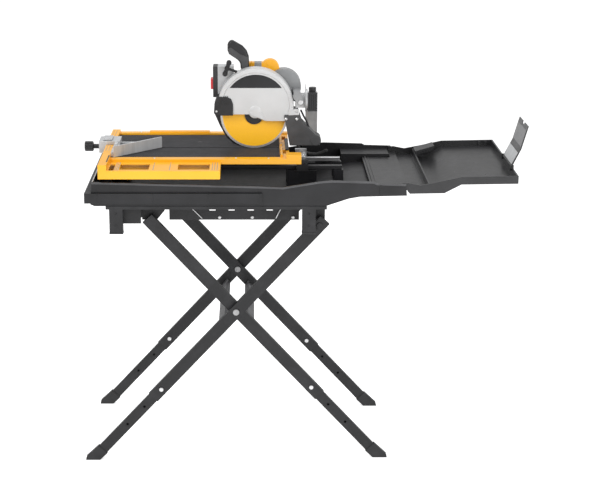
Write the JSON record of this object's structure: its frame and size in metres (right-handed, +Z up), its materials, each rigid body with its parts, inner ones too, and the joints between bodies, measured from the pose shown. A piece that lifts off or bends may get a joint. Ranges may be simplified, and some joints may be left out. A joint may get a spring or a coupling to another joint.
{
  "type": "tile saw",
  "caption": "Wet tile saw with a rolling yellow cart, a tilting and plunging cutting head over a black water tub, a rear tray and a folding scissor stand.",
  "frame": {"origin": "on the floor, midway between the four feet of the stand", "axes": "+X along the rails towards the rear tray, +Y away from the operator, +Z up"},
  "size_m": [1.647, 0.68, 1.564],
  "materials": {
    "black_moulding": "grained black moulded plastic",
    "black_steel": "black powder coat",
    "yellow_paint": "yellow enamel on cast aluminium",
    "rubber": "matt black rubber",
    "deck_rubber": "ribbed black rubber",
    "bright_steel": "zinc plated steel",
    "stainless": "brushed stainless rail",
    "cast_grey": "grey die-cast aluminium",
    "light_sheet": "pale satin aluminium",
    "guard_silver": "silver painted guard",
    "blade_yellow": "painted steel disc with a bare rim",
    "red_button": "red moulded plastic",
    "bearing_steel": "ground bearing steel",
    "motor_steel": "laminated steel and copper"
  },
  "bodies": {
    "base": {"water_tub": "black_moulding", "base_frame": "black_steel", "corner_pads": "rubber", "slotted_rails": "black_steel", "guide_rails": "stainless", "rail_brackets": "bright_steel", "pump": "black_moulding", "support_column": "cast_grey", "hinge_pins": "bright_steel"},
    "drain": {"drain_plug": "rubber"},
    "tray": {"rear_tray": "black_moulding"},
    "flap": {"end_flap": "light_sheet"},
    "stand_outer": {"outer_leg_front": "black_steel", "outer_leg_rear": "black_steel", "outer_brace": "light_sheet", "pivot_bolts": "bright_steel"},
    "stand_inner": {"inner_leg_front": "black_steel", "inner_leg_rear": "black_steel", "inner_braces": "light_sheet"},
    "outer_extension_front": {"lower_outer_leg_front": "black_steel", "outer_foot_front": "rubber"},
    "outer_pull_pin_front": {"outer_pin_front": "bright_steel"},
    "outer_extension_rear": {"lower_outer_leg_rear": "black_steel", "outer_foot_rear": "rubber"},
    "outer_pull_pin_rear": {"outer_pin_rear": "bright_steel"},
    "inner_extension_front": {"lower_inner_leg_front": "black_steel", "inner_foot_front": "rubber"},
    "inner_pull_pin_front": {"inner_pin_front": "bright_steel"},
    "inner_extension_rear": {"lower_inner_leg_rear": "black_steel", "inner_foot_rear": "rubber"},
    "inner_pull_pin_rear": {"inner_pin_rear": "bright_steel"},
    "cart": {"cart_frame": "yellow_paint", "cart_deck": "deck_rubber"},
    "roller_front_left": {"roller_front_left": "black_moulding"},
    "roller_front_right": {"roller_front_right": "black_moulding"},
    "roller_rear_left": {"roller_rear_left": "black_moulding"},
    "roller_rear_right": {"roller_rear_right": "black_moulding"},
    "guide": {"guide_bracket": "light_sheet", "guide_plate": "light_sheet"},
    "guide_clamp": {"guide_knob": "black_moulding"},
    "yoke": {"bevel_yoke": "cast_grey", "lift_pin": "bright_steel"},
    "bevel_clamp": {"bevel_knob": "black_moulding"},
    "head": {"head_casting": "cast_grey", "motor_housing": "yellow_paint", "drive_belt": "rubber", "ball_bearings": "bearing_steel", "blade_guard": "guard_silver", "splash_plate": "black_moulding", "front_bumper": "rubber", "rubber_skirt": "rubber", "handle": "black_moulding", "switch_box": "black_moulding"},
    "cutting_blade": {"blade_spindle": "bearing_steel", "blade": "blade_yellow", "blade_flanges": "bright_steel", "arbor_nut": "bright_steel"},
    "rotor": {"motor_rotor": "motor_steel"},
    "paddle": {"switch_paddle": "red_button"},
    "plunge_lock": {"lock_knob": "black_moulding"}
  },
  "joints": [
    {"name": "stand_fold", "type": "hinge", "parent": "base", "child": "stand_outer", "pos_m": [0.30598, 0, 0.93069], "axis": [0, 1, 0], "range_deg": [0, 35]},
    {"name": "stand_scissor", "type": "hinge", "parent": "stand_outer", "child": "stand_inner", "pos_m": [0, 0, 0.598], "axis": [0, 1, 0], "range_deg": [-70, 0]},
    {"name": "outer_extension_slide_front", "type": "slide", "parent": "stand_outer", "child": "outer_extension_front", "axis": [0.6769, 0, 0.736], "range_m": [0, 0.194]},
    {"name": "outer_pin_pull_front", "type": "slide", "parent": "stand_outer", "child": "outer_pull_pin_front", "axis": [0, -1, 0], "range_m": [0, 0.006], "stiffness_N_per_m": 400},
    {"name": "outer_extension_slide_rear", "type": "slide", "parent": "stand_outer", "child": "outer_extension_rear", "axis": [0.6769, 0, 0.736], "range_m": [0, 0.194]},
    {"name": "outer_pin_pull_rear", "type": "slide", "parent": "stand_outer", "child": "outer_pull_pin_rear", "axis": [0, -1, 0], "range_m": [0, 0.006], "stiffness_N_per_m": 400},
    {"name": "inner_extension_slide_front", "type": "slide", "parent": "stand_inner", "child": "inner_extension_front", "axis": [-0.6769, 0, 0.736], "range_m": [0, 0.194]},
    {"name": "inner_pin_pull_front", "type": "slide", "parent": "stand_inner", "child": "inner_pull_pin_front", "axis": [0, -1, 0], "range_m": [0, 0.006], "stiffness_N_per_m": 400},
    {"name": "inner_extension_slide_rear", "type": "slide", "parent": "stand_inner", "child": "inner_extension_rear", "axis": [-0.6769, 0, 0.736], "range_m": [0, 0.194]},
    {"name": "inner_pin_pull_rear", "type": "slide", "parent": "stand_inner", "child": "inner_pull_pin_rear", "axis": [0, -1, 0], "range_m": [0, 0.006], "stiffness_N_per_m": 400},
    {"name": "cart_slide", "type": "slide", "parent": "base", "child": "cart", "axis": [1, 0, 0], "range_m": [0, 0.4]},
    {"name": "roller_front_left_spin", "type": "hinge", "parent": "cart", "child": "roller_front_left", "pos_m": [-0.43, -0.09, 1.125], "axis": [0, 1, 0], "range_deg": [0, 1810]},
    {"name": "roller_front_right_spin", "type": "hinge", "parent": "cart", "child": "roller_front_right", "pos_m": [-0.07, -0.09, 1.125], "axis": [0, 1, 0], "range_deg": [0, 1810]},
    {"name": "roller_rear_left_spin", "type": "hinge", "parent": "cart", "child": "roller_rear_left", "pos_m": [-0.43, 0.205, 1.125], "axis": [0, 1, 0], "range_deg": [0, 1810]},
    {"name": "roller_rear_right_spin", "type": "hinge", "parent": "cart", "child": "roller_rear_right", "pos_m": [-0.07, 0.205, 1.125], "axis": [0, 1, 0], "range_deg": [0, 1810]},
    {"name": "guide_slide", "type": "slide", "parent": "cart", "child": "guide", "axis": [0, 1, 0], "range_m": [-0.12, 0]},
    {"name": "guide_knob_turn", "type": "hinge", "parent": "guide", "child": "guide_clamp", "pos_m": [-0.55, 0.03, 1.157], "axis": [1, 0, 0], "range_deg": [0, 360]},
    {"name": "head_bevel", "type": "hinge", "parent": "base", "child": "yoke", "pos_m": [0.26, 0, 1.34], "axis": [1, 0, 0], "range_deg": [0, 45]},
    {"name": "bevel_knob_turn", "type": "hinge", "parent": "base", "child": "bevel_clamp", "pos_m": [0.285, -0.02, 1.382], "axis": [0, 0, 1], "range_deg": [0, 180]},
    {"name": "head_lift", "type": "hinge", "parent": "yoke", "child": "head", "pos_m": [0.24, 0, 1.34], "axis": [0, 1, 0], "range_deg": [0, 15]},
    {"name": "blade_spin", "type": "hinge", "parent": "head", "child": "cutting_blade", "pos_m": [0.067, 0, 1.284], "axis": [0, 1, 0], "continuous": true},
    {"name": "rotor_spin", "type": "hinge", "parent": "head", "child": "rotor", "pos_m": [0.102, 0.1, 1.4], "axis": [0, 1, 0], "continuous": true},
    {"name": "switch_press", "type": "slide", "parent": "head", "child": "paddle", "axis": [1, 0, 0], "range_m": [0, 0.0035], "stiffness_N_per_m": 500},
    {"name": "plunge_knob_turn", "type": "hinge", "parent": "head", "child": "plunge_lock", "pos_m": [0.014, 0, 1.443], "axis": [-0.9397, 0, 0.342], "range_deg": [0, 90]},
    {"name": "tray_lift", "type": "slide", "parent": "base", "child": "tray", "axis": [0, 0, 1], "range_m": [0, 0.05]},
    {"name": "flap_fold", "type": "hinge", "parent": "tray", "child": "flap", "pos_m": [1.013, -0.1, 1.13], "axis": [0, -1, 0], "range_deg": [0, 100]},
    {"name": "drain_plug_pull", "type": "slide", "parent": "base", "child": "drain", "axis": [0, 0, 1], "range_m": [0, 0.03]}
  ],
  "couplings": [
    {"joint": "stand_scissor", "follows": "stand_fold", "ratio": -2},
    {"joint": "rotor_spin", "follows": "blade_spin", "ratio": 1.5556},
    {"joint": "roller_front_left_spin", "follows": "cart_slide", "rad_per_m": 78.74},
    {"joint": "roller_front_right_spin", "follows": "cart_slide", "rad_per_m": 78.74},
    {"joint": "roller_rear_left_spin", "follows": "cart_slide", "rad_per_m": 78.74},
    {"joint": "roller_rear_right_spin", "follows": "cart_slide", "rad_per_m": 78.74}
  ]
}
